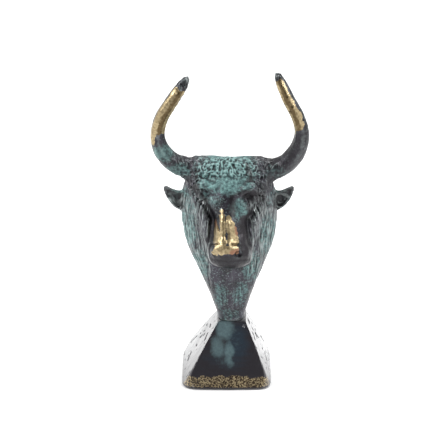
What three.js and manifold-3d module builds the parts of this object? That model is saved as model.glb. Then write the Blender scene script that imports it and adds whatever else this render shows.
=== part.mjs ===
// A bull-headed bust on a pyramid plinth, both cast in bronze.
// Millimetres, +Z up, the face towards -Y. The origin is the middle of the plinth's underside.
import * as THREE from 'three';
import Module from 'manifold-3d';
import { mergeVertices } from 'three/addons/utils/BufferGeometryUtils.js';

// Plinth: a truncated pyramid whose top sits a little to the right of its foot
const plinthWidth = 46;
const plinthHeight = 31;
const plinthTopWidth = 14.6;
const plinthTopShift = 2.7;
const plinthRimHeight = 1.9;
const plinthRimInset = 0.9;
const plinthFaceBow = 0.5;
const plinthSideBow = 0.6;

// Bust: the whole casting leans a little to the left as it rises
const pollHeight = 118;
const pollDepth = 1;
const footShift = 2.4;
const pollShift = 0.8;
const faceTilt = 28 * Math.PI / 180;
const faceLength = 53.5;

// Mesh: how finely each skin is divided
const castingRings = 62;
const castingColumns = 56;
const hornRings = 23;
const hornSides = 12;
const earRings = 11;
const earSides = 12;
const weldSize = 0.01;

// Colours of the metal
const darkBronze = 0x34403f;
const plinthBronze = 0x2c3036;

// A smooth curve through [place, value] pairs.
function profile(points) {
  const last = points.length - 1;
  const slope = points.map((point, i) => {
    const before = points[Math.max(i - 1, 0)];
    const after = points[Math.min(i + 1, last)];
    return (after[1] - before[1]) / (after[0] - before[0]);
  });
  return (place) => {
    if (place <= points[0][0]) return points[0][1];
    if (place >= points[last][0]) return points[last][1];
    let i = 0;
    while (place > points[i + 1][0]) i += 1;
    const span = points[i + 1][0] - points[i][0];
    const t = (place - points[i][0]) / span;
    const rise = t * t * (3 - 2 * t);
    const bend = (1 - t) * slope[i] - t * slope[i + 1];
    return points[i][1] * (1 - rise) + points[i + 1][1] * rise + span * t * (1 - t) * bend;
  };
}

// Distances to simple forms are negative inside. Forms melt into each other with a fillet.
function join(a, b, fillet) {
  const overlap = Math.max(fillet - Math.abs(a - b), 0) / fillet;
  return Math.min(a, b) - overlap * overlap * fillet / 4;
}

function overlap(a, b, fillet) {
  return -join(-a, -b, fillet);
}

function carve(a, b, fillet) {
  return -join(-a, b, fillet);
}

function ellipsoid(p, centre, radii) {
  let near = 0;
  let far = 0;
  for (let i = 0; i < 3; i += 1) {
    const d = (p[i] - centre[i]) / radii[i];
    near += d * d;
    far += d * d / (radii[i] * radii[i]);
  }
  const k = Math.sqrt(near);
  return k * (k - 1) / Math.max(Math.sqrt(far), 1e-9);
}

// A straight limb whose radius runs from one end's to the other's.
function limb(p, from, to, fromRadius, toRadius) {
  let along = 0;
  let length = 0;
  for (let i = 0; i < 3; i += 1) {
    along += (p[i] - from[i]) * (to[i] - from[i]);
    length += (to[i] - from[i]) ** 2;
  }
  const t = Math.min(Math.max(along / length, 0), 1);
  let off = 0;
  for (let i = 0; i < 3; i += 1) {
    off += (p[i] - from[i] - t * (to[i] - from[i])) ** 2;
  }
  return Math.sqrt(off) - (fromRadius + (toRadius - fromRadius) * t);
}

// A rounded section of a given half-width, between a low and a high side.
function section(x, v, halfWidth, low, high, power) {
  const half = (high - low) / 2;
  const across = Math.abs(x) / halfWidth;
  const up = Math.abs(v - (high + low) / 2) / half;
  return ((across ** power + up ** power) ** (1 / power) - 1) * Math.min(halfWidth, half);
}

// Neck: half-width, throat and nape at each height.
const neckWidth = profile([[31, 6.9], [34, 7.3], [39, 8.9], [44, 10.4], [52, 13.5], [61, 17.1],
  [69, 20.4], [78, 22.8], [87, 23.9], [96, 23.2], [104, 21.2], [111, 17.5], [116, 13]]);
const throat = profile([[31, -6.9], [34, -6.8], [44, -8.4], [60, -10.5], [78, -11.5], [102, -8],
  [116, -1]]);
const nape = profile([[31, 6.9], [34, 7.2], [44, 10.4], [60, 15.4], [78, 19], [90, 20], [102, 18],
  [109, 14], [114, 9]]);

function neck(x, y, z) {
  const side = section(x, y, neckWidth(z), throat(z), nape(z), 2.3);
  return overlap(side, z - (pollHeight - 6), 6);
}

// Head, in a frame of its own: x across, s down the face from the poll, h out of the face.
const headWidth = profile([[0, 14.5], [8, 17], [16, 18], [24, 17.4], [36, 14.4], [47, 11.7], [55, 10]]);
const headFront = profile([[0, -1], [6, 3.6], [12, 6.2], [20, 7], [30, 6.4], [42, 6.8], [49, 6.4],
  [55, 3]]);
const jaw = profile([[0, -15], [20, -15], [34, -14], [46, -12.5], [55, -10]]);

function headWedge(x, s, h) {
  const side = section(x, h, headWidth(s), jaw(s), headFront(s), 2.4);
  return overlap(overlap(side, s - faceLength, 6), -s, 5);
}

// Forelock: rows of short locks that hang from the crest over the forehead, between the horns.
const lockWidth = 4.4;
const lockLength = 5;
const lockDepth = 1.3;
const forelockLength = 20;
const forelockHalfWidth = 17;
const forelockEdge = 2.5;

function forelock(d, x, s, h) {
  // distance round the poll, from the crest down to the brow
  const down = 11 * Math.atan2(h + 4, 9 - s);
  const row = Math.floor(down / lockLength);
  const along = down / lockLength - row;
  const across = x / lockWidth + (row % 2) / 2;
  const off = across - Math.round(across);
  // each lock narrows to its tip and overhangs the root of the next
  const narrowing = 0.5 - 0.22 * along * along;
  const swell = Math.max(1 - (off / narrowing) ** 2, 0) * Math.sin(Math.PI * Math.min(along + 0.15, 1));
  const inside = Math.min(forelockHalfWidth - Math.abs(x), forelockLength - down, down / 2);
  const fade = Math.min(Math.max(inside / forelockEdge, 0), 1);
  return d - lockDepth * swell * fade;
}

function face(x, s, h) {
  const p = [x, s, h];
  const m = [Math.sqrt(x * x + 0.6), s, h];
  let d = headWedge(x, s, h);
  // forehead, narrowing into the ridge of the nose
  d = join(d, limb(p, [0, 9.8, -0.5], [0, 18, 2.2], 8.4, 7.8), 5);
  d = join(d, ellipsoid(p, [0, 8.4, 0.4], [15.5, 7.3, 5.8]), 2);
  d = join(d, limb(p, [0, 18, 2.2], [-0.3, 32, 4.6], 7.6, 5.4), 3);
  d = join(d, limb(p, [-0.3, 32, 4.6], [-0.6, 44, 4.8], 5.4, 5), 3);
  // muzzle, nose pad and nostril wings
  d = join(d, ellipsoid(p, [0.7, 45.8, -1], [10.4, 8, 9]), 5);
  d = join(d, ellipsoid(p, [-0.8, 44.4, 5.2], [7.2, 5.2, 4.8]), 2);
  d = join(d, ellipsoid(m, [6.2, 45.9, 5.2], [2.5, 3, 3.2]), 1.4);
  // valley from the eye down beside the nose
  d = carve(d, limb(m, [13, 24, 10.2], [9.4, 31, 9.2], 3.2, 2.6), 3);
  d = carve(d, limb(m, [9.4, 31, 9.2], [8.2, 39, 9.4], 2.6, 1.6), 3);
  // eye socket, eyeball and brow
  d = carve(d, ellipsoid(m, [12.2, 21.6, 9], [4.6, 3, 3.4]), 1.6);
  d = join(d, ellipsoid(m, [12.2, 21.8, 4], [3.2, 2.5, 3]), 0.6);
  d = join(d, limb(m, [6.2, 18.4, 8.2], [11.4, 16, 7.2], 1.8, 2.1), 2);
  d = join(d, limb(m, [11.4, 16, 7.2], [17, 19, 2.2], 2.1, 1.8), 2);
  // nostrils
  d = carve(d, ellipsoid(m, [6.6, 47, 9.4], [1.8, 2, 2.6]), 1.2);
  return forelock(d, x, s, h);
}

const cosTilt = Math.cos(faceTilt);
const sinTilt = Math.sin(faceTilt);

// The neck and head as one form, without horns and ears.
function casting(x, y, z) {
  const back = y - pollDepth;
  const up = z - pollHeight;
  const s = -sinTilt * back - cosTilt * up;
  const h = -cosTilt * back + sinTilt * up;
  const p = [x, y, z];
  let d = join(neck(x, y, z), face(x, s, h), 5);
  // crest of the poll and the swellings where the horns leave it
  d = join(d, limb(p, [-13, 5, 109.3], [13, 5, 109.3], 6.3, 6.3), 3);
  d = join(d, ellipsoid([Math.abs(x), y, z], [15.5, 3.4, 109.8], [6, 6.4, 6.2]), 3);
  // ridge down the throat
  return join(d, limb(p, [0, -10.2, 64], [0, -6.2, 36], 2, 1.2), 2.5);
}

function lean(z) {
  return footShift + (pollShift - footShift) * (z - plinthHeight) / (pollHeight - plinthHeight);
}

// The skin lies where a ray from inside the casting first comes out of it.
const rayStride = 0.5;
const rayHalvings = 14;

function reach(origin, direction) {
  const at = (r) => casting(...origin.map((value, i) => value + direction[i] * r));
  let far = rayStride;
  while (at(far) < 0) far += rayStride;
  let near = far - rayStride;
  for (let i = 0; i < rayHalvings; i += 1) {
    const middle = (near + far) / 2;
    if (at(middle) < 0) near = middle;
    else far = middle;
  }
  return near;
}

// The rays lie flat up the neck, then fan out in the head from a spine that moves up and forwards.
const neckTop = 57;
const neckShare = 0.2;
const headRayStart = -46 * Math.PI / 180;
const spineLow = [0, 2, 72];
const spineHigh = [0, 0, 95];
const spineRise = 1.35;
const crown = 0.995;

function skinPoint(t, angle) {
  let origin;
  let elevation = 0;
  if (t < neckShare) {
    const z = plinthHeight + (neckTop - plinthHeight) * t / neckShare;
    origin = [0, (throat(z) + nape(z)) / 2, z];
  } else {
    const k = (t - neckShare) / (1 - neckShare);
    const rise = Math.min(k * spineRise, 1);
    origin = spineLow.map((low, i) => low + (spineHigh[i] - low) * rise);
    elevation = headRayStart + (Math.PI / 2 - headRayStart) * k;
  }
  const flat = Math.cos(elevation);
  const direction = [Math.sin(angle) * flat, -Math.cos(angle) * flat, Math.sin(elevation)];
  const r = reach(origin, direction);
  return origin.map((value, i) => value + direction[i] * r);
}

// Rings are spread along the front profile, further apart in the neck and closer in the forelock.
const neckRingWeight = 0.6;
const forelockRingWeight = 1.9;
const forelockFoot = 104;

function ringWeight(t, z) {
  if (t < neckShare) return neckRingWeight;
  return z > forelockFoot ? forelockRingWeight : 1;
}

function ringPlaces(count) {
  const samples = 900;
  const length = [0];
  let last = skinPoint(0, 0);
  for (let i = 1; i <= samples; i += 1) {
    const t = crown * i / samples;
    const next = skinPoint(t, 0);
    const step = Math.hypot(...next.map((value, j) => value - last[j]));
    length.push(length[i - 1] + step * ringWeight(t, next[2]));
    last = next;
  }
  const places = [];
  let i = 0;
  for (let ring = 0; ring < count; ring += 1) {
    const goal = length[samples] * ring / (count - 1);
    while (i < samples - 1 && length[i + 1] < goal) i += 1;
    const part = (goal - length[i]) / (length[i + 1] - length[i]);
    places.push(crown * Math.min((i + part) / samples, 1));
  }
  return places;
}

// Columns crowd together on the face and spread out at the back.
const columnCrowding = 0.42;

function columnAngle(column, count) {
  const turn = 2 * Math.PI * column / count;
  return turn - columnCrowding * Math.sin(turn);
}

// A closed skin over rings of points, with a middle point closing each end.
function closedSkin(rings) {
  const count = rings[0].length;
  const points = rings.flat();
  const middle = (ring) => [0, 1, 2].map((i) => ring.reduce((sum, p) => sum + p[i], 0) / count);
  const bottom = points.push(middle(rings[0])) - 1;
  const top = points.push(middle(rings[rings.length - 1])) - 1;
  const rim = (rings.length - 1) * count;
  const triangles = [];
  for (let column = 0; column < count; column += 1) {
    const next = (column + 1) % count;
    triangles.push(bottom, next, column);
    for (let low = 0; low < rim; low += count) {
      const high = low + count;
      triangles.push(low + column, low + next, high + next);
      triangles.push(low + column, high + next, high + column);
    }
    triangles.push(rim + column, rim + next, top);
  }
  const geometry = new THREE.BufferGeometry();
  geometry.setAttribute('position', new THREE.Float32BufferAttribute(points.flat(), 3));
  geometry.setIndex(triangles);
  return geometry;
}

function castingSkin() {
  const rings = ringPlaces(castingRings).map((t) => {
    const ring = [];
    for (let column = 0; column < castingColumns; column += 1) {
      const p = skinPoint(t, columnAngle(column, castingColumns));
      ring.push([p[0] + lean(p[2]), p[1], p[2]]);
    }
    return ring;
  });
  return closedSkin(rings);
}

// A skin along a curve. sectionAt gives the across and outward offsets at a place and an angle.
function limbSkin(path, sectionAt, outward, ringCount, sides) {
  const curve = new THREE.CatmullRomCurve3(path.map((p) => new THREE.Vector3(...p)));
  const length = curve.getLength();
  const rings = [];
  for (let i = 0; i < ringCount; i += 1) {
    const t = i / (ringCount - 1);
    const centre = curve.getPointAt(t);
    const tangent = curve.getTangentAt(t);
    const out = outward.clone().addScaledVector(tangent, -outward.dot(tangent)).normalize();
    const across = new THREE.Vector3().crossVectors(out, tangent);
    const ring = [];
    for (let j = 0; j < sides; j += 1) {
      const [u, v] = sectionAt(length * (1 - t), 2 * Math.PI * j / sides);
      const point = centre.clone().addScaledVector(across, u).addScaledVector(out, v);
      ring.push(point.toArray());
    }
    rings.push(ring);
  }
  return closedSkin(rings);
}

// Horns: centre lines from inside the poll to the tip. The two differ a little, as the casting's do.
const leftHorn = [[-7, 5, 110.8], [-16.5, 3.6, 111.2], [-24.5, 2, 114], [-31.2, 0.4, 121],
  [-33.7, -1, 130], [-31.9, -2, 139.4], [-26, -2.4, 149.8], [-18.7, -1.2, 160.6]];
const rightHorn = [[10, 5, 110.4], [20.5, 3.5, 110.5], [28, 2, 113.4], [34.3, 0.2, 121.4],
  [36.7, -1.2, 130.8], [34.9, -2.1, 139.8], [30.2, -2.4, 149.4], [24.1, -1, 162.6]];

// Radius at each distance from the tip.
const hornRadius = profile([[0, 0.6], [0.8, 1.4], [2.5, 2], [6, 2.6], [12, 3.05], [20, 3.25],
  [32, 3.5], [40, 4.05], [48, 4.6], [58, 5.1], [70, 5.7], [80, 5.8]]);

function horn(path) {
  const round = (fromTip, angle) => {
    const radius = hornRadius(fromTip);
    return [radius * Math.cos(angle), radius * Math.sin(angle)];
  };
  return limbSkin(path, round, new THREE.Vector3(0, -1, 0), hornRings, hornSides);
}

// Ears: leaves that curve up to a point, thin, and hollow in front.
const earPath = [[18, 5, 92.4], [22, 4, 93.4], [25.8, 3, 95.4], [29, 2, 98.4], [32, 1, 102.6]];
const earHalfWidth = profile([[0, 0.5], [1.2, 1.4], [4.5, 2.6], [8.5, 4], [12, 5.1], [18, 5]]);
const earThickness = 0.42;
const earHollow = 0.5;

function ear(side) {
  const path = earPath.map(([x, y, z]) => [side * x + lean(z), y, z]);
  const leaf = (fromTip, angle) => {
    const half = earHalfWidth(fromTip);
    const u = Math.cos(angle);
    const v = Math.sin(angle);
    const hollow = v > 0 ? earHollow * (1 - u * u) : 0;
    return [half * u, half * (earThickness * v - hollow)];
  };
  return limbSkin(path, leaf, new THREE.Vector3(side * 0.15, -1, 0.3), earRings, earSides);
}

const wasm = await Module();
wasm.setup();

function solid(geometry) {
  const merged = mergeVertices(geometry, 1e-5);
  return new wasm.Manifold(new wasm.Mesh({
    numProp: 3,
    vertProperties: new Float32Array(merged.attributes.position.array),
    triVerts: new Uint32Array(merged.index.array),
  }));
}

// Corners closer than the weld size become one, and the slivers between them go.
function geometryOf(manifold) {
  const mesh = manifold.getMesh();
  const geometry = new THREE.BufferGeometry();
  geometry.setAttribute('position', new THREE.BufferAttribute(mesh.vertProperties, 3));
  geometry.setIndex(new THREE.BufferAttribute(mesh.triVerts, 1));
  const welded = mergeVertices(geometry, weldSize);
  const corners = welded.index.array;
  const kept = [];
  for (let i = 0; i < corners.length; i += 3) {
    const [a, b, c] = corners.slice(i, i + 3);
    if (a !== b && b !== c && c !== a) kept.push(a, b, c);
  }
  welded.setIndex(kept);
  return welded;
}

function metal(color, roughness) {
  return new THREE.MeshStandardMaterial({ color, roughness, metalness: 0.8 });
}

function bust() {
  let whole = solid(castingSkin());
  for (const skin of [horn(leftHorn), horn(rightHorn), ear(-1), ear(1)]) {
    whole = whole.add(solid(skin));
  }
  const mesh = new THREE.Mesh(geometryOf(whole), metal(darkBronze, 0.45));
  mesh.name = 'bust';
  return mesh;
}

// The arrises of the plinth are sharp above and open into round corners at its foot.
const cornerRadius = profile([[0, 6], [0.06, 4.2], [0.15, 2.2], [0.3, 0.9], [0.5, 0.45], [1, 0.4]]);
const cornerSteps = 5;
const sideSteps = 4;

function plinthRing(z, half, radius, shift, bow) {
  const flat = half - radius;
  const ring = [];
  for (let side = 0; side < 4; side += 1) {
    const place = (outward, along) => {
      const turn = side * Math.PI / 2;
      const swell = outward + bow * (1 - (along / half) ** 2);
      const x = swell * Math.cos(turn) - along * Math.sin(turn);
      const y = swell * Math.sin(turn) + along * Math.cos(turn);
      ring.push([x + shift, y, z]);
    };
    for (let i = 1; i < sideSteps; i += 1) place(half, flat * (2 * i / sideSteps - 1));
    for (let i = 0; i <= cornerSteps; i += 1) {
      const angle = i / cornerSteps * Math.PI / 2;
      place(flat + radius * Math.cos(angle), flat + radius * Math.sin(angle));
    }
  }
  return ring;
}

function plinth() {
  const footHalf = plinthWidth / 2 - plinthSideBow;
  const topHalf = plinthTopWidth / 2;
  const rings = [
    plinthRing(0, footHalf - plinthRimInset, cornerRadius(0), 0, plinthSideBow),
    plinthRing(plinthRimHeight * 0.35, footHalf, cornerRadius(0), 0, plinthSideBow),
  ];
  const steps = 9;
  for (let i = 0; i <= steps; i += 1) {
    const t = (i / steps) ** 1.3;
    const z = plinthRimHeight + (plinthHeight - plinthRimHeight) * t;
    const half = footHalf + (topHalf - footHalf) * t + plinthFaceBow * Math.sin(Math.PI * t);
    rings.push(plinthRing(z, half, cornerRadius(t), plinthTopShift * t, plinthSideBow * (1 - t)));
  }
  const mesh = new THREE.Mesh(closedSkin(rings), metal(plinthBronze, 0.4));
  mesh.name = 'plinth';
  return mesh;
}

const group = new THREE.Group();
group.add(plinth(), bust());
export default group;
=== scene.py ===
"""A bull-headed bust of patinated cast bronze on a pyramid plinth.

Sizes are in millimetres, +Z up, the face towards -Y. Meshes are turned to metres as they are made.
"""
import math

import bpy
import numpy as np
import openvdb
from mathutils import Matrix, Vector


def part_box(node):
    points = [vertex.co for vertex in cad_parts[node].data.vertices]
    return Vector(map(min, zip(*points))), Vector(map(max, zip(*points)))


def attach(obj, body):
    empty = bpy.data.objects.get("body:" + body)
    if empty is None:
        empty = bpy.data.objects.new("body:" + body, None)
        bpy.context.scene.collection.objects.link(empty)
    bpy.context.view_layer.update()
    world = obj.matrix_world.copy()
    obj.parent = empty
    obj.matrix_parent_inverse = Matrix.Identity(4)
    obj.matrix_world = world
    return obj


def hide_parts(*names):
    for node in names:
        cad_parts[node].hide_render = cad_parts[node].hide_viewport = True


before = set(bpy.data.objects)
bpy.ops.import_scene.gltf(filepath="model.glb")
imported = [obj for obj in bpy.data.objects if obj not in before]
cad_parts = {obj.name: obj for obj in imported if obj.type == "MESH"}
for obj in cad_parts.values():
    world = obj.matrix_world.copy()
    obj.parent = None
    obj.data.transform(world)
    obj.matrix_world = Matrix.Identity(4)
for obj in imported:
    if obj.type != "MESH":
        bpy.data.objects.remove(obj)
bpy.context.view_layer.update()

METRES = 0.001

# Plinth: a truncated pyramid whose top sits a little to the right of its foot
PLINTH_WIDTH = 46
PLINTH_HEIGHT = 31
PLINTH_TOP_WIDTH = 14.6
PLINTH_TOP_SHIFT = 2.7
RIM_HEIGHT = 1.9
RIM_INSET = 0.9
FACE_BOW = 0.5
SIDE_BOW = 0.6

# Bust: the whole casting leans a little to the left as it rises
POLL_HEIGHT = 118
POLL_DEPTH = 1
FOOT_SHIFT = 2.4
POLL_SHIFT = 0.8
FACE_TILT = math.radians(28)
FACE_LENGTH = 53.5
NOSE_SHIFT = -1.8

# Camera: level with the photograph's, looking down a little from in front
CAMERA_ELEVATION = math.radians(24.5)
CAMERA_DISTANCE = 900
CAMERA_TARGET = (-1.8, 0, 83)
SENSOR_WIDTH = 36
FOCAL_LENGTH = 145.3


# Numbers along a curve, and noise

def profile(points):
    """A smooth curve through (place, value) pairs."""
    place, value = (np.array(column, np.float32) for column in zip(*points))
    before = np.maximum(np.arange(len(place)) - 1, 0)
    after = np.minimum(np.arange(len(place)) + 1, len(place) - 1)
    slope = (value[after] - value[before]) / (place[after] - place[before])

    def curve(at):
        at = np.clip(at, place[0], place[-1])
        i = np.clip(np.searchsorted(place, at, side="right") - 1, 0, len(place) - 2)
        span = place[i + 1] - place[i]
        t = (at - place[i]) / span
        rise = t * t * (3 - 2 * t)
        bend = (1 - t) * slope[i] - t * slope[i + 1]
        return value[i] * (1 - rise) + value[i + 1] * rise + span * t * (1 - t) * bend

    return curve


def fade(value, low, high):
    """0 below low, 1 above high, smooth between. Low may be the larger."""
    t = np.clip((value - low) / (high - low), 0, 1)
    return t * t * (3 - 2 * t)


def scatter(i, j, k, seed):
    """A number from 0 to 1 for each cell of a lattice, the same on every run."""
    mixed = (i * 73856093) ^ (j * 19349663) ^ (k * 83492791) ^ (seed * 2654435761)
    mixed = (mixed ^ (mixed >> 13)) * 1274126177 & 0xFFFFFFFF
    return ((mixed ^ (mixed >> 16)) & 0xFFFFFF).astype(np.float32) / 0xFFFFFF


def noise(x, y, z=0, seed=0):
    """Smooth noise from -1 to 1 that changes over about one unit."""
    place = np.broadcast_arrays(x, y, z)
    cell = [np.floor(v).astype(np.int64) for v in place]
    part = [(v - c).astype(np.float32) for v, c in zip(place, cell)]
    ease = [t * t * (3 - 2 * t) for t in part]
    total = 0
    for corner in range(8):
        step = [corner >> axis & 1 for axis in range(3)]
        weight = 1
        for axis in range(3):
            weight = weight * (ease[axis] if step[axis] else 1 - ease[axis])
        total = total + weight * scatter(*(c + s for c, s in zip(cell, step)), seed)
    return 2 * total - 1


def winding(x, y, z=0, seed=0):
    """Winding crests: 1 along each crest, down to about -1 between them."""
    return 1 - 2.6 * np.abs(noise(x, y, z, seed))


def strip(x, y, places):
    """Distance in a plane to a strip through (x, y, half-width) places, negative inside it."""
    nearest = np.full(len(x), 99.0)
    for a, b in zip(places, places[1:]):
        length = (b[0] - a[0]) ** 2 + (b[1] - a[1]) ** 2
        t = np.clip(((x - a[0]) * (b[0] - a[0]) + (y - a[1]) * (b[1] - a[1])) / length, 0, 1)
        off = np.hypot(x - a[0] - t * (b[0] - a[0]), y - a[1] - t * (b[1] - a[1]))
        nearest = np.minimum(nearest, off - a[2] - t * (b[2] - a[2]))
    return nearest


def strips(x, y, several):
    """Distance to the nearest of several strips."""
    return np.min([strip(x, y, places) for places in several], axis=0)


# Forms as distances, negative inside. Forms melt into each other with a fillet.

def join(a, b, fillet):
    overlapping = np.maximum(fillet - np.abs(a - b), 0) / fillet
    return np.minimum(a, b) - overlapping * overlapping * fillet / 4


def overlap(a, b, fillet):
    return -join(-a, -b, fillet)


def carve(a, b, fillet):
    return -join(-a, b, fillet)


def ellipsoid(p, centre, radii):
    near = sum(((v - c) / r) ** 2 for v, c, r in zip(p, centre, radii))
    far = sum(((v - c) / r ** 2) ** 2 for v, c, r in zip(p, centre, radii))
    k = np.sqrt(near)
    return k * (k - 1) / np.maximum(np.sqrt(far), 1e-9)


def limb(p, start, end, start_radius, end_radius):
    length = sum((b - a) ** 2 for a, b in zip(start, end))
    along = sum((v - a) * (b - a) for v, a, b in zip(p, start, end)) / length
    t = np.clip(along, 0, 1)
    off = sum((v - a - t * (b - a)) ** 2 for v, a, b in zip(p, start, end))
    return np.sqrt(off) - (start_radius + (end_radius - start_radius) * t)


def section(x, v, half_width, low, high, power):
    half = (high - low) / 2
    across = np.abs(x) / half_width
    up = np.abs(v - (high + low) / 2) / half
    return ((across ** power + up ** power) ** (1 / power) - 1) * np.minimum(half_width, half)


# Neck

neck_width = profile([(31, 6.9), (34, 7.3), (39, 8.9), (44, 10.4), (52, 13.5), (61, 17.1),
                      (69, 20.4), (78, 22.8), (87, 23.9), (96, 23.2), (104, 21.2), (111, 17.5),
                      (116, 13)])
throat = profile([(31, -6.9), (34, -6.8), (44, -8.4), (60, -10.5), (78, -11.5), (102, -8),
                  (116, -1)])
nape = profile([(31, 6.9), (34, 7.2), (44, 10.4), (60, 15.4), (78, 19), (90, 20), (102, 18),
                (109, 14), (114, 9)])


def neck(x, y, z):
    side = section(x, y, neck_width(z), throat(z), nape(z), 2.3)
    return overlap(side, z - (POLL_HEIGHT - 6), 6)


# Head, in a frame of its own: x across, s down the face from the poll, h out of the face

head_width = profile([(0, 14.5), (8, 17), (16, 18), (24, 17.2), (36, 13.6), (47, 10.8), (55, 9.8)])
head_front = profile([(0, -1), (6, 3.6), (12, 6.2), (20, 7), (30, 6.4), (42, 6.8), (49, 6.4),
                      (55, 3)])
jaw = profile([(0, -15), (20, -15), (34, -14), (46, -12.5), (55, -10)])

# The two eyes aren't quite level: centre, and the side that faces out
EYES = [((-13.4, 18.7, 4), -1), ((12, 20.4, 4.4), 1)]

# Grooves and ridges of the face, as (strip of places across and down, depth, width)
FACE_LINES = [([(-17.4, 15.2, 0), (-12, 22.8, 0), (-7.8, 30.6, 0), (-9.6, 42, 0)], 2.2, 1.9),
              ([(17.4, 19, 0), (12.4, 25.6, 0), (9, 31, 0), (9.8, 42, 0)], 2, 1.8),
              ([(NOSE_SHIFT, 32, 0), (NOSE_SHIFT, 47, 0)], 0.35, 0.5),
              ([(-5.4, 29.4, 0), (-5.2, 36, 0)], 0.6, 0.6),
              ([(-8, 42.8, 0), (-5.6, 43, 0)], 0.6, 0.5),
              ([(1, 43.4, 0), (4.4, 43.2, 0)], 0.6, 0.5),
              ([(-9, 50.2, 0), (0, 51.4, 0), (9, 50.2, 0)], 0.35, 0.7),
              ([(-0.7, 32, 0), (0.8, 40, 0)], -0.3, 0.5),
              ([(-3.4, 27, 0), (-3.4, 41, 0)], -0.25, 0.7)]


def head_place(x, y, z):
    """Across, down and out of the face."""
    back = y - POLL_DEPTH
    up = z - POLL_HEIGHT
    s = -math.sin(FACE_TILT) * back - math.cos(FACE_TILT) * up
    h = -math.cos(FACE_TILT) * back + math.sin(FACE_TILT) * up
    return x, s, h


def head_wedge(x, s, h):
    side = section(x, h, head_width(s), jaw(s), head_front(s), 2.4)
    return overlap(overlap(side, s - FACE_LENGTH, 6), -s, 5)


def face(x, s, h):
    """The bull's face, with its nose turned a little to the left."""
    p = (x, s, h)
    middle = (np.sqrt(x * x + 0.6), s, h)
    nose = (np.sqrt((x - NOSE_SHIFT) ** 2 + 0.6), s, h)
    d = head_wedge(x, s, h)
    # forehead, narrowing into the ridge of the nose, and a swelling on each side of its root
    d = join(d, limb(p, (0, 9.8, -0.5), (0, 18, 2.2), 8.4, 7.8), 5)
    d = join(d, ellipsoid(p, (0, 8.4, 0.4), (15.5, 7.3, 5.8)), 2)
    d = join(d, limb(p, (0, 18, 2.2), (-1.2, 32, 4.6), 7.6, 5.6), 3)
    d = join(d, limb(p, (-1.2, 32, 4.6), (NOSE_SHIFT, 44, 4.8), 5.6, 5.2), 3)
    d = join(d, ellipsoid(middle, (6, 24, 4.2), (3.4, 5, 3.6)), 2)
    # muzzle, nose pad and nostril wings
    d = join(d, ellipsoid(p, (0.2, 46.2, -1), (10, 7.8, 9)), 4)
    d = join(d, ellipsoid(p, (NOSE_SHIFT, 44.6, 5.2), (6.8, 5.2, 4.8)), 2)
    d = join(d, ellipsoid(nose, (5, 46.2, 5.2), (2.4, 2.8, 3.2)), 1.4)
    for places, depth, width in FACE_LINES:
        d = d + depth * np.exp(-(strip(x, s, places) / width) ** 2) * fade(h, -1, 3)
    # eye socket, eyeball, brow and lids
    for centre, side in EYES:
        e = ((x - centre[0]) * side, s - centre[1], h - centre[2])
        d = carve(d, ellipsoid(e, (0, 0, 4.4), (5, 3.2, 3.4)), 2)
        d = join(d, ellipsoid(e, (0, 0.1, -0.1), (2.7, 2, 2.4)), 0.8)
        d = join(d, limb(e, (-6, -2.8, 3.4), (-0.8, -5, 2.5), 1.7, 2), 2)
        d = join(d, limb(e, (-0.8, -5, 2.5), (4.8, -2.6, -2.4), 2, 1.6), 2)
        d = join(d, limb(e, (-3.2, -0.6, 1.5), (0.2, -2.2, 1.8), 0.4, 0.5), 1)
        d = join(d, limb(e, (0.2, -2.2, 1.8), (3.4, -0.2, 0), 0.5, 0.4), 1)
        d = join(d, limb(e, (-3, 0.8, 1.2), (0.2, 2.2, 1.2), 0.35, 0.45), 1)
    # nostrils
    return carve(d, ellipsoid(nose, (6, 48.2, 8.4), (1.6, 1.6, 2.2)), 1.6)


def crown(x, y, z, d):
    """Crest of the poll, and the swellings where the horns leave it."""
    d = join(d, limb((x, y, z), (-13, 5, 109.3), (13, 5, 109.3), 6.3, 6.3), 3)
    return join(d, ellipsoid((np.abs(x), y, z), (15.5, 3.4, 109.8), (6, 6.4, 6.2)), 3)


def lean(z):
    return FOOT_SHIFT + (POLL_SHIFT - FOOT_SHIFT) * (z - PLINTH_HEIGHT) / (POLL_HEIGHT - PLINTH_HEIGHT)


# Horns and ears: forms along a curve

LEFT_HORN = [(-7, 5, 110.8), (-16.5, 3.6, 111.2), (-24.5, 2, 114), (-31.2, 0.4, 121),
             (-33.7, -1, 130), (-31.9, -2, 139.4), (-26, -2.4, 149.8), (-18.7, -1.2, 160.6)]
RIGHT_HORN = [(10, 5, 110.4), (20.5, 3.5, 110.5), (28, 2, 113.4), (34.3, 0.2, 121.4),
              (36.7, -1.2, 130.8), (34.9, -2.1, 139.8), (30.2, -2.4, 149.4), (24.1, -1, 162.6)]
horn_radius = profile([(0, 0.6), (0.8, 1.4), (2.5, 2), (6, 2.6), (12, 3.05), (20, 3.25),
                       (32, 3.5), (40, 4.05), (48, 4.6), (58, 5.1), (70, 5.7), (80, 5.8)])
HORN_TOP = 103
EAR_PATH = [(18, 5, 92.4), (22, 4, 93.4), (25.8, 3, 95.4), (29, 2, 98.4), (32, 1, 102.6)]
ear_half_width = profile([(0, 0.5), (1.2, 1.4), (4.5, 2.6), (8.5, 4), (12, 5.1), (18, 5)])
EAR_THICKNESS = 0.42
EAR_HOLLOW = 0.5
CURVE_SAMPLES = 24
CHUNK = 40000


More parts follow.
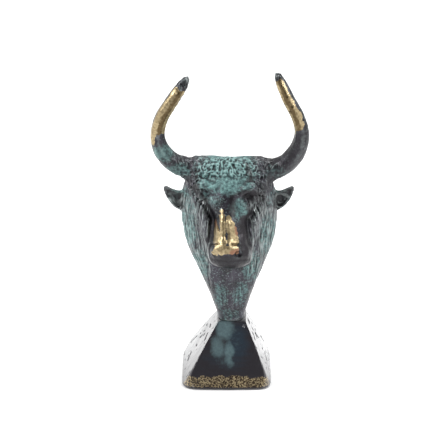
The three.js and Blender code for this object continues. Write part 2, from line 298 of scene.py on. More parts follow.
class Limb:
    """A smooth curve through points, with its tip last and an outward side."""

    def __init__(self, points, outward):
        points = [np.array(p, float) for p in points]
        ends = [2 * points[0] - points[1]] + points + [2 * points[-1] - points[-2]]
        line = []
        for a, b, c, d in zip(ends, ends[1:], ends[2:], ends[3:]):
            ab, bc, cd = (max(np.linalg.norm(v) ** 0.5, 1e-4) for v in (b - a, c - b, d - c))
            start = ((b - a) / ab - (c - a) / (ab + bc) + (c - b) / bc) * bc
            end = ((c - b) / bc - (d - b) / (bc + cd) + (d - c) / cd) * bc
            for t in np.arange(CURVE_SAMPLES) / CURVE_SAMPLES:
                line.append((2 * t ** 3 - 3 * t ** 2 + 1) * b + (3 * t ** 2 - 2 * t ** 3) * c
                            + (t ** 3 - 2 * t ** 2 + t) * start + (t ** 3 - t ** 2) * end)
        self.line = np.array(line + [points[-1]], np.float32)
        step = np.linalg.norm(np.diff(self.line, axis=0), axis=1)
        self.length = float(step.sum())
        self.travel = np.concatenate([[0], np.cumsum(step)]).astype(np.float32)
        self.outward = np.array(outward, np.float32)

    def place(self, x, y, z):
        """Distance from the tip, and the offsets across, outward and beyond either end."""
        p = np.stack([x, y, z], axis=1).astype(np.float32)
        results = [self._place(p[i:i + CHUNK]) for i in range(0, max(len(p), 1), CHUNK)]
        return [np.concatenate(part) for part in zip(*results)]

    def _place(self, p):
        square = (self.line ** 2).sum(1)[None, :] - 2 * p @ self.line.T
        nearest = np.clip(np.argmin(square, axis=1), 1, len(self.line) - 2)
        before, after = self.line[nearest - 1], self.line[nearest + 1]
        tangent = after - before
        span = np.linalg.norm(tangent, axis=1)
        tangent = tangent / span[:, None]
        offset = p - self.line[nearest]
        along = (offset * tangent).sum(1)
        travel = self.travel[nearest] + along
        from_tip = np.clip(self.length - travel, 0, None)
        beyond = np.clip(travel - self.length, 0, None) + np.clip(-travel, 0, None)
        side = offset - along[:, None] * tangent
        out = self.outward - (tangent @ self.outward)[:, None] * tangent
        out = out / np.linalg.norm(out, axis=1)[:, None]
        across = np.cross(out, tangent)
        return from_tip, (side * across).sum(1), (side * out).sum(1), beyond


def ear_curve(side):
    points = [(side * x + lean(z), y, z) for x, y, z in EAR_PATH]
    return Limb(points, (side * 0.15, -1, 0.3))


horns = [Limb(LEFT_HORN, (0, -1, 0)), Limb(RIGHT_HORN, (0, -1, 0))]
ears = [ear_curve(-1), ear_curve(1)]


def horn_form(seat):
    from_tip, across, out, beyond = seat
    return np.sqrt(across ** 2 + out ** 2 + beyond ** 2) - horn_radius(from_tip)


def ear_form(ear, x, y, z):
    from_tip, across, out, beyond = ear.place(x, y, z)
    half = ear_half_width(from_tip)
    arch = np.sqrt(np.clip(1 - (across / half) ** 2, 0, 1))
    front = half * (EAR_THICKNESS * arch - EAR_HOLLOW * arch ** 2)
    back = -half * EAR_THICKNESS * arch
    leaf = np.abs(out - (front + back) / 2) - (front - back) / 2 - 0.25
    return np.maximum(overlap(leaf, np.abs(across) - half, 0.6), beyond - 0.4)


# Relief that follows the skin

LOCK_WIDTH = 4.4
LOCK_LENGTH = 5
LOCK_DEPTH = 0.75
FORELOCK_LENGTH = 20
FORELOCK_HALF_WIDTH = 17
FORELOCK_EDGE = 2.5
CURL_WIDTH = 1.5
FUR_WIDTH = 1.5
FUR_LENGTH = 11
MANE_WIDTH = 2.6
MANE_LENGTH = 12
# Knocks across the right horn, as distances from its tip
KNOCKS = (12.5, 18)


def forelock(x, s, h):
    """Rows of short locks from the crest down to the brow, each of a few curling strands."""
    down = 11 * np.arctan2(h + 4, 9 - s)
    row = np.floor(down / LOCK_LENGTH)
    along = down / LOCK_LENGTH - row
    across = x / LOCK_WIDTH + (row % 2) / 2
    column = np.round(across)
    bend = scatter(row.astype(np.int64), column.astype(np.int64), np.int64(3), 5) - 0.5
    off = across - column - 0.5 * bend * along * along
    narrowing = 0.5 - 0.22 * along * along
    swell = np.maximum(1 - (off / narrowing) ** 2, 0) * np.sin(np.pi * np.minimum(along + 0.15, 1))
    sway = 1.3 * noise(x / 4, down / 4, 0, 6)
    curls = winding((x + sway) / CURL_WIDTH, (down - sway) / (1.3 * CURL_WIDTH), 0, 7)
    strands = winding((x - sway) / (0.7 * CURL_WIDTH), (down + sway) / CURL_WIDTH, 5, 9)
    inside = np.minimum(np.minimum(FORELOCK_HALF_WIDTH - np.abs(x), FORELOCK_LENGTH - down), down / 2)
    cover = np.clip(inside / FORELOCK_EDGE, 0, 1)
    return cover * (LOCK_DEPTH * swell + 0.45 * np.minimum(curls, 0.55) + 0.25 * np.minimum(strands, 0.6))


def wool(x, y, z):
    """Tufts round the poll and over the roots of the horns."""
    cover = fade(z, 102, 106) * fade(np.abs(x), 30, 22) * fade(np.abs(x), 9, 15)
    sway = 0.8 * noise(x / 3, y / 3, z / 3, 11)
    return cover * (0.32 * winding((x + sway) / 1.8, y / 1.8, (z - sway) / 1.8, 12)
                    + 0.12 * noise(x, y, z, 13))


def round_neck(x, y):
    """Distance round the neck from the throat, in millimetres at the cheeks."""
    return 20 * np.arctan2(x, 6 - y)


def fur(x, y, z):
    """Fine strokes that draw together down the cheeks and the neck, and a coarser mane behind."""
    turn = round_neck(x, y)
    wave = 0.7 * noise(x / 8, y / 8, z / 8, 21)
    first = winding(turn / FUR_WIDTH + wave, z / FUR_LENGTH, 0, 22)
    second = noise(1.9 * turn / FUR_WIDTH - wave, 1.4 * z / FUR_LENGTH, 7, 23)
    cheek = fade(np.abs(x), 7, 10) * fade(z, 40, 56) * fade(z, 108, 102) * fade(y, 11, 5)
    throat_side = 0.5 * fade(np.abs(x), 8, 5) * fade(z, 34, 40) * fade(z, 66, 58) * fade(y, 0, -4)
    mane = winding(x / MANE_WIDTH + 1.5 * wave, z / MANE_LENGTH, 3, 24)
    behind = fade(y, 6, 12) * fade(z, 34, 44)
    return (cheek + throat_side) * (0.26 * first + 0.17 * second) + behind * 0.4 * mane


def cast_grain(x, y, z):
    """The uneven skin that sand and wax leave on a casting."""
    broad = noise(x / 4.2, y / 4.2, z / 4.2, 31)
    fine = noise(x / 1.4, y / 1.4, z / 1.4, 32)
    return 0.1 * broad + 0.08 * fine


def horn_relief(seat, knocks):
    """Shallow lengthwise facets down the polished part of a horn, and small knocks across it."""
    from_tip, across, out, _ = seat
    angle = np.arctan2(across, out)
    near = fade(np.hypot(across, out), 8, 6)
    relief = 0.13 * fade(from_tip, 58, 44) * np.cos(angle * 6 + from_tip * 0.03)
    for at in knocks:
        relief = relief + 0.45 * np.exp(-((from_tip - at - angle) / 0.8) ** 2) * fade(np.abs(angle), 1.2, 0.6)
    return near * relief


# The field of the whole bust

SKIN = 2.2


def bust_field(x, y, z):
    own = x - lean(z)
    d = join(neck(own, y, z), face(*head_place(own, y, z)), 5)
    d = crown(own, y, z, d)
    d = join(d, limb((own, y, z), (0, -10.2, 64), (0, -6.2, 36), 2, 1.2), 2.5)
    near = np.abs(d) < SKIN
    at = own[near], y[near], z[near]
    d[near] -= forelock(*head_place(*at)) + fur(*at)
    for horn, knocks in zip(horns, ((), KNOCKS)):
        part = z > HORN_TOP
        seat = horn.place(x[part], y[part], z[part])
        d[part] = join(d[part], horn_form(seat), 2.2) - horn_relief(seat, knocks)
    for ear in ears:
        part = (z > 84) & (z < 108) & (np.abs(own) > 14)
        d[part] = join(d[part], ear_form(ear, x[part], y[part], z[part]), 1.6)
    skin = np.abs(d) < SKIN
    d[skin] -= cast_grain(x[skin], y[skin], z[skin]) + wool(own[skin], y[skin], z[skin])
    return np.maximum(d, PLINTH_HEIGHT - z)


# Meshing: the field is sampled on a grid that is fine over the face and spreads towards the back

BLOCK = 6
REACH = 3
FACE_STEP = 0.39
HORN_STEP = 0.54
BACK_STEP = 0.64
BACK_STRETCH = 0.7
GRID_MIDDLE = 90


def axis(*stretches):
    """Grid lines from (start, end, spacing) stretches."""
    lines = [np.arange(start, end - spacing / 2, spacing) for start, end, spacing in stretches]
    return np.concatenate(lines + [[stretches[-1][1]]]).astype(np.float32)


def spread(u, v, w):
    """Moves grid points apart towards the back, where the casting is plainer."""
    stretch = 1 + BACK_STRETCH * fade(v, -5, 10)
    return u * stretch, v, GRID_MIDDLE + (w - GRID_MIDDLE) * stretch


def sample(lines, field):
    """The field on a grid, worked out only in the blocks that the skin passes through."""
    lines = [np.concatenate([a, a[-1] + np.arange(1, -len(a) % BLOCK + 1) * 0.5]) for a in lines]
    count = [len(a) // BLOCK for a in lines]
    middle = [a.reshape(-1, BLOCK).mean(1) for a in lines]
    centres = [c.ravel().astype(np.float32) for c in np.meshgrid(*middle, indexing="ij")]
    rough = field(*spread(*centres)).reshape(count)
    values = np.repeat(np.repeat(np.repeat(np.sign(rough) * REACH, BLOCK, 0), BLOCK, 1), BLOCK, 2)
    half = [(a.reshape(-1, BLOCK).max(1) - a.reshape(-1, BLOCK).min(1)) / 2 for a in lines]
    radius = np.sqrt(sum(v ** 2 for v in np.meshgrid(*half, indexing="ij"))) * (1 + BACK_STRETCH)
    wanted = np.argwhere(np.abs(rough) < radius * 1.4 + 2.4)
    inner = np.stack(np.meshgrid(*[np.arange(BLOCK)] * 3, indexing="ij"), -1).reshape(-1, 3)
    for start in range(0, len(wanted), 1500):
        index = (wanted[start:start + 1500, None, :] * BLOCK + inner[None]).reshape(-1, 3)
        p = spread(*(lines[i][index[:, i]].astype(np.float32) for i in range(3)))
        values[index[:, 0], index[:, 1], index[:, 2]] = np.clip(field(*p), -REACH, REACH)
    return lines, values.astype(np.float32)


def skin_of(lines, field):
    """Points and four-sided faces on the surface of a field."""
    lines, values = sample(lines, field)
    grid = openvdb.FloatGrid(REACH)
    grid.copyFromArray(values)
    points, quads = grid.convertToPolygons(isovalue=0.0, adaptivity=0.0)[::2]
    placed = [np.interp(points[:, i], np.arange(len(lines[i])), lines[i]) for i in range(3)]
    return np.stack(spread(*placed), 1), quads


def largest_part(points, faces):
    """Only the faces that hang together with the most others, so no crumb is left."""
    label = np.arange(len(points))
    while True:
        low = label[faces].min(1)
        new = label.copy()
        for corner in range(faces.shape[1]):
            np.minimum.at(new, faces[:, corner], low)
        new = new[new]
        if (new == label).all():
            break
        label = new
    names, sizes = np.unique(label, return_counts=True)
    kept = label == names[np.argmax(sizes)]
    order = np.cumsum(kept) - 1
    return points[kept], order[faces[kept[faces[:, 0]]]]


def mesh_object(name, points, faces):
    mesh = bpy.data.meshes.new(name)
    mesh.from_pydata((points * METRES).tolist(), [], faces)
    mesh.validate()
    mesh.shade_smooth()
    made = bpy.data.objects.new(name, mesh)
    bpy.context.scene.collection.objects.link(made)
    return made


def paint(made, name, values):
    """Keeps a number for each corner of a mesh, for its material to read."""
    attribute = made.data.attributes.new(name, "FLOAT", "POINT")
    attribute.data.foreach_set("value", values.astype(np.float32))


def normals(points, faces):
    """The outward direction at each point."""
    a, b, c = (points[faces[:, i]] for i in range(3))
    flat = np.cross(b - a, c - a)
    total = np.zeros_like(points)
    for corner in range(faces.shape[1]):
        for i in range(3):
            total[:, i] += np.bincount(faces[:, corner], flat[:, i], len(points))
    return total / np.maximum(np.linalg.norm(total, axis=1), 1e-9)[:, None]


def hollows(points, faces, rounds):
    """How far each point lies below (-) or above (+) its neighbourhood, in millimetres."""
    smooth = points.copy()
    edges = np.concatenate([faces[:, [i, (i + 1) % faces.shape[1]]] for i in range(faces.shape[1])])
    degree = np.bincount(edges.ravel(), minlength=len(points))[:, None]
    for _ in range(rounds):
        total = np.zeros_like(smooth)
        for i in range(3):
            total[:, i] = np.bincount(edges[:, 0], smooth[edges[:, 1], i], len(points))
            total[:, i] += np.bincount(edges[:, 1], smooth[edges[:, 0], i], len(points))
        smooth = total / degree
    return ((points - smooth) * normals(points, faces)).sum(1)


# Where the patina is rubbed through to bare bronze, how far that bronze has gone brown or coppery, and a
# painted dark reflection down each horn's gilding.
# Strips on the face are (across, down, half-width) places.

NOSE_GILT = [[(-3.4, 27.4, 0.9), (-3.2, 43, 1.8)], [(-6.7, 31, 0.6), (-6.2, 42, 2.3)],
             [(-0.4, 30.6, 1), (1.2, 36, 2.5), (1.6, 42, 2.8)], [(-6.6, 46.6, 2), (2.8, 46, 1.9)]]
NOSE_BROWN = [[(-5.5, 29.5, 0.4), (-5.3, 36, 0.4)], [(-8, 42.8, 0.1), (-6, 43, 0)],
              [(1.4, 43.4, 0.2), (4.4, 43.2, 0.4)], [(3.8, 34, 0.4), (4, 38, 0.3)]]
NOSE_COPPER = [[(1.2, 47.6, 0.8), (4, 47, 1.2)], [(3.4, 35, 0.3), (3.8, 38, 0.4)],
               [(-6.8, 30.5, 0.3), (-7, 34, 0.2)]]
# Each horn's gilding: from the tip, to, turn of its middle, half its turn, turn of its band of painted dark
# reflection
HORN_GILT = [(7, 34, 0.1, 1.3, -0.35), (2.5, 31, 0.3, 1, 0.2)]
# How much further down the gilding ends at one side of a horn than at its middle
END_SLANT = 3


def gilt_on_bust(x, y, z, seats):
    own, s, h = head_place(x - lean(z), y, z)
    ragged = 0.7 * noise(x / 1.3, y / 1.3, z / 1.3, 41)
    amount = fade(strips(own, s, NOSE_GILT) + ragged, 0.6, -0.6) * fade(h, 3, 5)
    edge = noise(x / 2, y / 2, z / 2, 42)
    for (from_tip, across, out, _), (start, end, middle, half, _) in zip(seats, HORN_GILT):
        angle = np.arctan2(across, out)
        near = fade(np.hypot(across, out), 8, 7) * (z > HORN_TOP)
        front = fade(np.abs(angle - middle) + 0.25 * edge, half + 0.1, half - 0.15)
        lower_end = end + END_SLANT * np.sin(angle - middle)
        run = fade(from_tip + 1.5 * edge, start - 1, start + 1.5)
        run = run * fade(from_tip + 3 * edge, lower_end + 2, lower_end - 2)
        amount = np.maximum(amount, near * front * run)
    return amount


def tarnish_and_reflection_on_bust(x, y, z, seats):
    own, s, h = head_place(x - lean(z), y, z)
    amount = fade(strips(own, s, NOSE_BROWN), 0.7, 0) * fade(h, 3, 5)
    # down each horn's gilding, a lengthwise band of painted dark reflection
    for (from_tip, across, out, _), (_, _, _, _, band) in zip(seats, HORN_GILT):
        angle = np.arctan2(across, out)
        near = fade(np.hypot(across, out), 8, 7) * (z > HORN_TOP)
        wander = 0.15 * noise(from_tip / 6, angle * 0, 0, 44)
        amount = np.maximum(amount, near * 0.85 * fade(np.abs(angle - band + wander), 0.5, 0.15))
    return amount


def copper_on_bust(x, y, z):
    own, s, h = head_place(x - lean(z), y, z)
    return fade(strips(own, s, NOSE_COPPER), 1.1, 0) * fade(h, 3, 5)


# Painted shade: darker in the eye sockets and grooves, down the sides of the snout and under the muzzle; also
# darker along a narrow strip in the right of the forelock
SHADE =[[(-17, 15.4, 1.2), (-12, 22.8, 1.6), (-8.4, 30.6, 1.8), (-9.8, 38, 0.8), (-9.8, 46, 0.8)],
         [(7, 18, 1), (12, 19.6, 2.6), (16, 20, 1.4)], [(14.4, 22.6, 0.4), (9, 30.5, 1)],
         [(7, 31, 1.4), (7.8, 46, 2.2)], [(-7.4, 51.4, 2.4), (7.6, 51.4, 2.8)],
         [(1.4, 21, 1), (1.6, 29, 1.6)], [(-7, 29, 0.6), (-6.8, 33, 0.4)], [(9, 3, 0), (11, 12, 0.6)]]
HORN_SHADE = (0.4, 0.75)


def shade_on_bust(x, y, z, seats):
    own, s, h = head_place(x - lean(z), y, z)
    ragged = 0.7 * noise(x / 2, y / 2, z / 2, 43)
    amount = fade(strips(own, s, SHADE) + ragged, 1.6, -0.4) * fade(h, -2, 1)
    # painted shade in the cups of the ears
    for ear in ears:
        from_tip, across, out, _ = ear.place(x, y, z)
        half = ear_half_width(from_tip)
        cup = fade(np.abs(across) / half, 0.95, 0.55) * fade(out / half, -0.32, -0.15)
        near = fade(np.hypot(across, out), 7, 6) * fade(from_tip, 17, 12)
        amount = np.maximum(amount, 0.9 * cup * near)
    # darker below each horn's gilding and near its tip
    for (from_tip, across, out, _), (_, end, _, _, _), depth in zip(seats, HORN_GILT, HORN_SHADE):
        near = fade(np.hypot(across, out), 8, 7) * (z > HORN_TOP)
        below = fade(from_tip, end - 3, end + 2) * fade(from_tip, 72, 58)
        amount = np.maximum(amount, near * depth * (below + fade(from_tip, 8, 4)))
    return amount


# Washes of green: middle across and up, half-size across and up, strength
GREEN_WASHES = [((0, 113), (17, 8), 0.85), ((-9, 104), (9, 7), 0.4), ((6, 99), (5, 6), 0.6),
                ((-31, 122), (6, 5), 0.75), ((-24, 112), (7, 5), 0.7), ((24, 111), (9, 5), 0.4),
                ((-22, 97), (8, 7), 0.6), ((26, 97), (8, 7), 0.35), ((-19, 82), (5, 14), 0.7),
                ((20, 80), (5, 14), 0.6), ((-13, 62), (6, 12), 0.6), ((13, 63), (6, 12), 0.5),
                ((-3, 46), (4, 10), 0.4), ((7, 48), (5, 9), 0.45), ((1, 35), (8, 5), 0.35)]


def washes(x, z, places):
    """How strongly soft-edged patches cover each point, from 0 to 1."""
    amount = np.zeros(len(x))
    for (across, up), (half_across, half_up), strength in places:
        off = np.hypot((x - across) / half_across, (z - up) / half_up)
        amount = np.maximum(amount, strength * fade(off, 1.35, 0.35))
    return amount


def green_on_bust(x, y, z):
    front = washes(x + 1.5 * noise(x / 5, y / 5, z / 5, 52), z, GREEN_WASHES)
    behind = 0.4 + 0.3 * noise(x / 9, y / 9, z / 9, 51)
    return np.clip(front + (behind - front) * fade(y, 6, 14), 0, 1)


def fur_sheen_on_bust(x, y, z):
    """Where the fur strokes get a painted silvery highlight, with painted shade between them: the cheeks and
    the sides of the neck.
    """
    own = x - lean(z)
    return fade(np.abs(own), 8.5, 11) * fade(z, 50, 66) * fade(z, 104, 96) * fade(y, 10, 2)


def comb_of_bust(x, y, z, seats):
    """Distances across and along the lie of the fur, or round and along a horn."""
    across = round_neck(x - lean(z), y)
    along = z
    for from_tip, side, out, _ in seats:
        on_horn = (np.hypot(side, out) < 7.5) & (z > HORN_TOP) & (from_tip < 70)
        across = np.where(on_horn, 4 * np.arctan2(side, out), across)
        along = np.where(on_horn, from_tip, along)
    return across, along


def make_bust():
    lines = [axis((-38.5, -23, HORN_STEP), (-23, 24, FACE_STEP), (24, 41.5, HORN_STEP)),
             axis((-31.5, -5, FACE_STEP), (-5, 21.5, BACK_STEP)),
             axis((30, 31, 0.5), (31, 58, BACK_STEP), (58, 121, FACE_STEP), (121, 164, HORN_STEP))]
    points, faces = largest_part(*skin_of(lines, bust_field))
    low, high = (np.array(corner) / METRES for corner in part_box("bust"))
    points = np.clip(points, low, high)
    made = mesh_object("bust_casting", points, faces.tolist())
    x, y, z = points.T
    seats = [horn.place(x, y, z) for horn in horns]
    across, along = comb_of_bust(x, y, z, seats)
    paint(made, "hollow_fine", hollows(points, faces, 3))
    paint(made, "hollow_broad", hollows(points, faces, 30))
    paint(made, "gilt", gilt_on_bust(x, y, z, seats))
    paint(made, "tarnish_and_reflection", tarnish_and_reflection_on_bust(x, y, z, seats))
    paint(made, "copper", copper_on_bust(x, y, z))
    paint(made, "shade", shade_on_bust(x, y, z, seats))
    paint(made, "green", green_on_bust(x, y, z))
    paint(made, "strokes", fur_sheen_on_bust(x, y, z))
    paint(made, "comb_across", across)
    paint(made, "comb_along", along)
    return made


# Plinth

corner_radius = profile([(0, 6), (0.06, 4.2), (0.15, 2.2), (0.3, 0.9), (0.5, 0.45), (1, 0.4)])
CORNER_STEPS = 8
SIDE_STEPS = 116
PLINTH_RINGS = 96
PIT_DEPTH = 0.4

GILT_BAND = 7
PLINTH_GREEN = [((-1, 28), (6, 6), 0.75), ((-4.5, 20), (4, 6), 0.7), ((1, 17), (3.4, 7), 0.75),
                ((5, 23), (4, 7), 0.2), ((-1, 14), (8, 5), 0.25)]
PLINTH_BLUE = [((6, 22), (6, 9), 0.9), ((1, 15), (12, 6), 0.4)]
# Scuffs on the plinth's sides, as (depth, height, half-width) places
SIDE_SCUFFS = [[(14, 9, 0.3), (10, 14, 0.5)], [(3, 17, 0.5), (2, 18.5, 0.4)], [(-7, 21, 0.3), (-4, 23, 0.4)],
               [(19, 8, 0.4), (17, 17, 0.3)], [(-2, 6, 0.3), (1, 9, 0.3)]]


def plinth_ring(z, half, radius, shift, bow):
    """One level of the plinth, a square with round corners and bowed sides."""
    flat = half - radius
    outline = []
    for side in range(4):
        turn = side * math.pi / 2
        spots = [(half, flat * (2 * i / SIDE_STEPS - 1)) for i in range(1, SIDE_STEPS)]
        for i in range(CORNER_STEPS + 1):
            angle = i / CORNER_STEPS * math.pi / 2
            spots.append((flat + radius * math.cos(angle), flat + radius * math.sin(angle)))
        for outward, along in spots:
            swell = outward + bow * (1 - (along / half) ** 2)
            x = swell * math.cos(turn) - along * math.sin(turn)
            y = swell * math.sin(turn) + along * math.cos(turn)
            outline.append((x + shift, y, z))
    return outline


def unevenness(x, y, z):
    """How far the plinth's skin lies below its true faces."""
    swell = 0.1 * noise(x / 7, y / 7, z / 7, 61) + 0.05 * noise(x / 1.6, y / 1.6, z / 1.6, 62)
    beside = fade(np.abs(x) - np.abs(y), -1, 1)
    pits = fade(noise(x / 1.7, y / 1.7, z / 1.7, 63), 0.6, 0.82)
    scuffs = fade(strips(y, z, SIDE_SCUFFS) + 0.3 * noise(y / 0.8, z / 0.8, 0, 64), 0.3, -0.2)
    return 0.16 - swell + beside * PIT_DEPTH * np.maximum(pits, scuffs)


def gilt_on_plinth(x, y, z):
    """The foot of the front face, rubbed to gold, more solidly to the right."""
    front = fade(y, -16.5, -19)
    top = GILT_BAND + 0.8 * noise(x / 2.5, 0 * x, 0, 71)
    band = fade(z, top + 0.5, top - 1.2) * fade(z, 1.1, 1.9)
    return band * front * (0.6 + 0.16 * fade(x, -14, -2))


def green_on_plinth(x, y, z):
    wash = washes(x + 1.2 * noise(x / 3, y / 3, z / 3, 72), z, PLINTH_GREEN)
    return wash * fade(y, -3, -7) + 0.25 * fade(y, -4, 3)


def blue_on_plinth(x, y, z):
    return washes(x + 1.2 * noise(x / 4, y / 4, z / 4, 73), z, PLINTH_BLUE) * fade(y, -3, -7)


def make_plinth():
    foot_half = PLINTH_WIDTH / 2 - SIDE_BOW
    top_half = PLINTH_TOP_WIDTH / 2
    rings = [plinth_ring(0, foot_half - RIM_INSET, corner_radius(0), 0, SIDE_BOW),
             plinth_ring(0.25 * RIM_HEIGHT, foot_half - 0.15, corner_radius(0), 0, SIDE_BOW)]
    for i in range(PLINTH_RINGS + 1):
        t = i / PLINTH_RINGS
        z = RIM_HEIGHT * 0.5 + (PLINTH_HEIGHT - RIM_HEIGHT * 0.5) * t
        half = foot_half + (top_half - foot_half) * t + FACE_BOW * math.sin(math.pi * t)
        rings.append(plinth_ring(z, half, corner_radius(t), PLINTH_TOP_SHIFT * t, SIDE_BOW * (1 - t)))
    count = len(rings[0])
    points = np.array([p for ring in rings for p in ring], float)
    low = np.arange(len(rings) - 1)[:, None] * count
    here = np.arange(count)[None, :]
    after = (here + 1) % count
    faces = np.stack([low + here, low + after, low + count + after, low + count + here], -1).reshape(-1, 4)
    x, y, z = points.T.copy()
    points -= normals(points, faces) * (unevenness(x, y, z) * fade(z, 0, 1))[:, None]
    bottom = list(range(count))[::-1]
    top = list(range((len(rings) - 1) * count, len(rings) * count))
    made = mesh_object("plinth_casting", points, faces.tolist() + [bottom, top])
    paint(made, "gilt", gilt_on_plinth(x, y, z))
    paint(made, "green", green_on_plinth(x, y, z))
    paint(made, "blue", blue_on_plinth(x, y, z))
    return made


# Materials

def linear(colour):
    """An sRGB hex value as the linear colour that a shader takes."""
    parts = [int(colour[i:i + 2], 16) / 255 for i in (1, 3, 5)]
    return [p / 12.92 if p <= 0.04045 else ((p + 0.055) / 1.055) ** 2.4 for p in parts] + [1]


def per_mm(size):
    """Noise scale for features of a size in millimetres."""
    return 1 / (size * METRES)


def add(tree, kind, settings, links=None):
    """Adds a node. Settings are its properties or inputs, and links feed its inputs."""
    made = tree.nodes.new(kind)
    for name, value in settings.items():
        if isinstance(name, str) and hasattr(made, name):
            setattr(made, name, value)
        else:
            made.inputs[name].default_value = value
    for name, socket in (links or {}).items():
        tree.links.new(socket, made.inputs[name])
    return made


def blank_material(name):
    material = bpy.data.materials.new(name)
    material.use_nodes = True
    material.node_tree.nodes.clear()
    return material, material.node_tree


# Colours of the bronze, from painted shade and the deepest of the patina to bare metal, with a painted
# silvery sheen
SOOT_AND_SHADE = linear("#0D1013")
PAINTED_SHADE_BROWN = linear("#1B171B")
BROWN_PATINA = linear("#1D1C21")
VIOLET_PATINA = linear("#37343D")
DEEP_GREEN = linear("#1D3A3C")
VERDIGRIS = linear("#7DA7A4")
PALE_SPECK = linear("#8A9C9B")
SILVERY_WEAR_AND_SHEEN = linear("#A0A9A8")
GOLDEN = linear("#B09F7C")
GOLDEN_SHADE = linear("#54452B")
COPPER = linear("#8A6650")
PLINTH_BROWN = linear("#2C2A2E")
PLINTH_SLATE = linear("#293540")
PLINTH_WASH = linear("#5C7478")
FOOT_BROWN = linear("#2A1D16")


